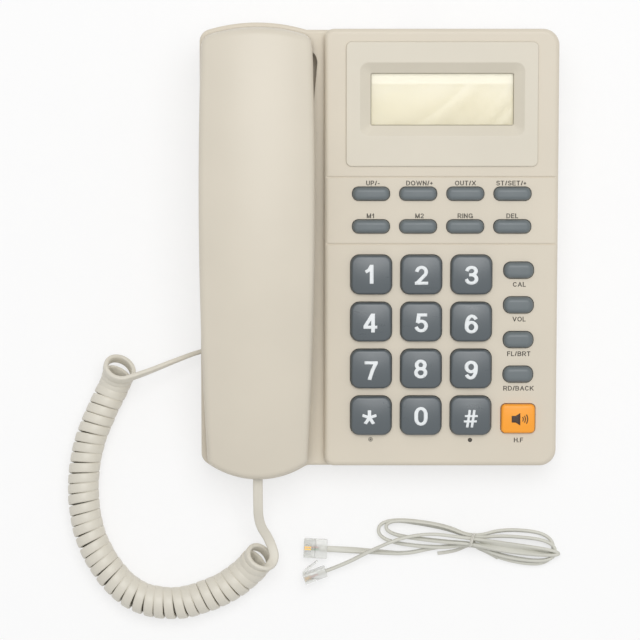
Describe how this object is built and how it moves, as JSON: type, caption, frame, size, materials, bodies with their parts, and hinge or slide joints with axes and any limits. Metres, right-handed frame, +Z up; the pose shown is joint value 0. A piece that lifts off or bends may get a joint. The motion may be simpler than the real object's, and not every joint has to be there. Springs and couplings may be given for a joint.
{
  "type": "corded desk telephone",
  "caption": "Cream desk telephone with a cradled handset, raised display, grey dial and function keys, an orange speaker key, a curly handset cord and a folded line cord.",
  "frame": {"origin": "on the table under the middle of the telephone's outline, cords left aside", "axes": "+Z up, +Y from the keys' front row to the display and on to the back, +X to the right of someone who dials"},
  "size_m": [0.2451, 0.2937, 0.0646],
  "materials": {
    "base_plastic": "moulded, fine grain, slightly yellowed cream",
    "handset_plastic": "moulded, fine grain, slightly yellowed cream",
    "bezel_plastic": "smooth satin cream",
    "lens": "clear flat window",
    "lcd": "pale reflective display, switched off",
    "key_mat": "moulded silicone",
    "board": "circuit board laminate",
    "black_plastic": "moulded",
    "speaker_metal": "pressed",
    "foot_rubber": "moulded",
    "screw_steel": "zinc plated",
    "weight_steel": "sheared bar",
    "handset_cord": "smooth cream jacket",
    "line_cord": "smooth pale grey jacket",
    "clear_plug": "clear moulding",
    "tie_wire": "coated wire",
    "dial_key": "satin grey",
    "pill_key": "satin grey",
    "speaker_key": "satin orange"
  },
  "bodies": {
    "base": {"base_end_plug": "clear_plug", "base_lower_cover": "base_plastic", "base_screws": "screw_steel", "base_upper_housing": "base_plastic", "cord_jack": "black_plastic", "display_bezel": "bezel_plastic", "display_lens": "lens", "hands_free_mic": "speaker_metal", "handset_cord_base_tail": "handset_cord", "handset_cord_coil": "handset_cord", "handset_cord_handset_tail": "handset_cord", "hook_switch": "black_plastic", "key_mat": "key_mat", "lcd_panel": "lcd", "line_cord_hank": "line_cord", "line_cord_tail_a": "line_cord", "line_cord_tail_b": "line_cord", "line_jack": "black_plastic", "line_plugs": "clear_plug", "loudspeaker": "speaker_metal", "main_board": "board", "rubber_feet": "foot_rubber", "twist_tie": "tie_wire"},
    "handset": {"handset_outer_shell": "handset_plastic", "handset_inner_shell": "handset_plastic", "receiver_capsule": "speaker_metal", "transmitter_capsule": "speaker_metal", "handset_weight": "weight_steel", "handset_jack": "black_plastic", "handset_screws": "screw_steel", "handset_end_plug": "clear_plug"},
    "hook_plunger": {"hook_plunger": "base_plastic"},
    "key_1": {"key_1": "dial_key"},
    "key_2": {"key_2": "dial_key"},
    "key_3": {"key_3": "dial_key"},
    "key_4": {"key_4": "dial_key"},
    "key_5": {"key_5": "dial_key"},
    "key_6": {"key_6": "dial_key"},
    "key_7": {"key_7": "dial_key"},
    "key_8": {"key_8": "dial_key"},
    "key_9": {"key_9": "dial_key"},
    "key_0": {"key_0": "dial_key"},
    "key_star": {"key_star": "dial_key"},
    "key_hash": {"key_hash": "dial_key"},
    "up_key": {"up_key": "pill_key"},
    "down_key": {"down_key": "pill_key"},
    "out_key": {"out_key": "pill_key"},
    "set_key": {"set_key": "pill_key"},
    "memory_1_key": {"memory_1_key": "pill_key"},
    "memory_2_key": {"memory_2_key": "pill_key"},
    "ring_key": {"ring_key": "pill_key"},
    "delete_key": {"delete_key": "pill_key"},
    "call_key": {"call_key": "pill_key"},
    "volume_key": {"volume_key": "pill_key"},
    "flash_key": {"flash_key": "pill_key"},
    "redial_key": {"redial_key": "pill_key"},
    "speaker_key": {"speaker_key": "speaker_key"}
  },
  "joints": [
    {"name": "handset_lift", "type": "slide", "parent": "base", "child": "handset", "axis": [0, -0.1219, 0.9925], "range_m": [0, 0.08], "deforming": ["handset_cord_handset_tail"]},
    {"name": "hook_rise", "type": "slide", "parent": "base", "child": "hook_plunger", "axis": [0, -0.1219, 0.9925], "range_m": [0, 0.005]},
    {"name": "key_1_press", "type": "slide", "parent": "base", "child": "key_1", "axis": [0, 0.1219, -0.9925], "range_m": [0, 0.0018], "stiffness_N_per_m": 220},
    {"name": "key_2_press", "type": "slide", "parent": "base", "child": "key_2", "axis": [0, 0.1219, -0.9925], "range_m": [0, 0.0018], "stiffness_N_per_m": 220},
    {"name": "key_3_press", "type": "slide", "parent": "base", "child": "key_3", "axis": [0, 0.1219, -0.9925], "range_m": [0, 0.0018], "stiffness_N_per_m": 220},
    {"name": "key_4_press", "type": "slide", "parent": "base", "child": "key_4", "axis": [0, 0.1219, -0.9925], "range_m": [0, 0.0018], "stiffness_N_per_m": 220},
    {"name": "key_5_press", "type": "slide", "parent": "base", "child": "key_5", "axis": [0, 0.1219, -0.9925], "range_m": [0, 0.0018], "stiffness_N_per_m": 220},
    {"name": "key_6_press", "type": "slide", "parent": "base", "child": "key_6", "axis": [0, 0.1219, -0.9925], "range_m": [0, 0.0018], "stiffness_N_per_m": 220},
    {"name": "key_7_press", "type": "slide", "parent": "base", "child": "key_7", "axis": [0, 0.1219, -0.9925], "range_m": [0, 0.0018], "stiffness_N_per_m": 220},
    {"name": "key_8_press", "type": "slide", "parent": "base", "child": "key_8", "axis": [0, 0.1219, -0.9925], "range_m": [0, 0.0018], "stiffness_N_per_m": 220},
    {"name": "key_9_press", "type": "slide", "parent": "base", "child": "key_9", "axis": [0, 0.1219, -0.9925], "range_m": [0, 0.0018], "stiffness_N_per_m": 220},
    {"name": "key_0_press", "type": "slide", "parent": "base", "child": "key_0", "axis": [0, 0.1219, -0.9925], "range_m": [0, 0.0018], "stiffness_N_per_m": 220},
    {"name": "key_star_press", "type": "slide", "parent": "base", "child": "key_star", "axis": [0, 0.1219, -0.9925], "range_m": [0, 0.0018], "stiffness_N_per_m": 220},
    {"name": "key_hash_press", "type": "slide", "parent": "base", "child": "key_hash", "axis": [0, 0.1219, -0.9925], "range_m": [0, 0.0018], "stiffness_N_per_m": 220},
    {"name": "up_key_press", "type": "slide", "parent": "base", "child": "up_key", "axis": [0, 0.1219, -0.9925], "range_m": [0, 0.0018], "stiffness_N_per_m": 220},
    {"name": "down_key_press", "type": "slide", "parent": "base", "child": "down_key", "axis": [0, 0.1219, -0.9925], "range_m": [0, 0.0018], "stiffness_N_per_m": 220},
    {"name": "out_key_press", "type": "slide", "parent": "base", "child": "out_key", "axis": [0, 0.1219, -0.9925], "range_m": [0, 0.0018], "stiffness_N_per_m": 220},
    {"name": "set_key_press", "type": "slide", "parent": "base", "child": "set_key", "axis": [0, 0.1219, -0.9925], "range_m": [0, 0.0018], "stiffness_N_per_m": 220},
    {"name": "memory_1_key_press", "type": "slide", "parent": "base", "child": "memory_1_key", "axis": [0, 0.1219, -0.9925], "range_m": [0, 0.0018], "stiffness_N_per_m": 220},
    {"name": "memory_2_key_press", "type": "slide", "parent": "base", "child": "memory_2_key", "axis": [0, 0.1219, -0.9925], "range_m": [0, 0.0018], "stiffness_N_per_m": 220},
    {"name": "ring_key_press", "type": "slide", "parent": "base", "child": "ring_key", "axis": [0, 0.1219, -0.9925], "range_m": [0, 0.0018], "stiffness_N_per_m": 220},
    {"name": "delete_key_press", "type": "slide", "parent": "base", "child": "delete_key", "axis": [0, 0.1219, -0.9925], "range_m": [0, 0.0018], "stiffness_N_per_m": 220},
    {"name": "call_key_press", "type": "slide", "parent": "base", "child": "call_key", "axis": [0, 0.1219, -0.9925], "range_m": [0, 0.0018], "stiffness_N_per_m": 220},
    {"name": "volume_key_press", "type": "slide", "parent": "base", "child": "volume_key", "axis": [0, 0.1219, -0.9925], "range_m": [0, 0.0018], "stiffness_N_per_m": 220},
    {"name": "flash_key_press", "type": "slide", "parent": "base", "child": "flash_key", "axis": [0, 0.1219, -0.9925], "range_m": [0, 0.0018], "stiffness_N_per_m": 220},
    {"name": "redial_key_press", "type": "slide", "parent": "base", "child": "redial_key", "axis": [0, 0.1219, -0.9925], "range_m": [0, 0.0018], "stiffness_N_per_m": 220},
    {"name": "speaker_key_press", "type": "slide", "parent": "base", "child": "speaker_key", "axis": [0, 0.1219, -0.9925], "range_m": [0, 0.0018], "stiffness_N_per_m": 220}
  ],
  "couplings": [
    {"joint": "hook_rise", "follows": "handset_lift", "ratio": 0.0625}
  ]
}
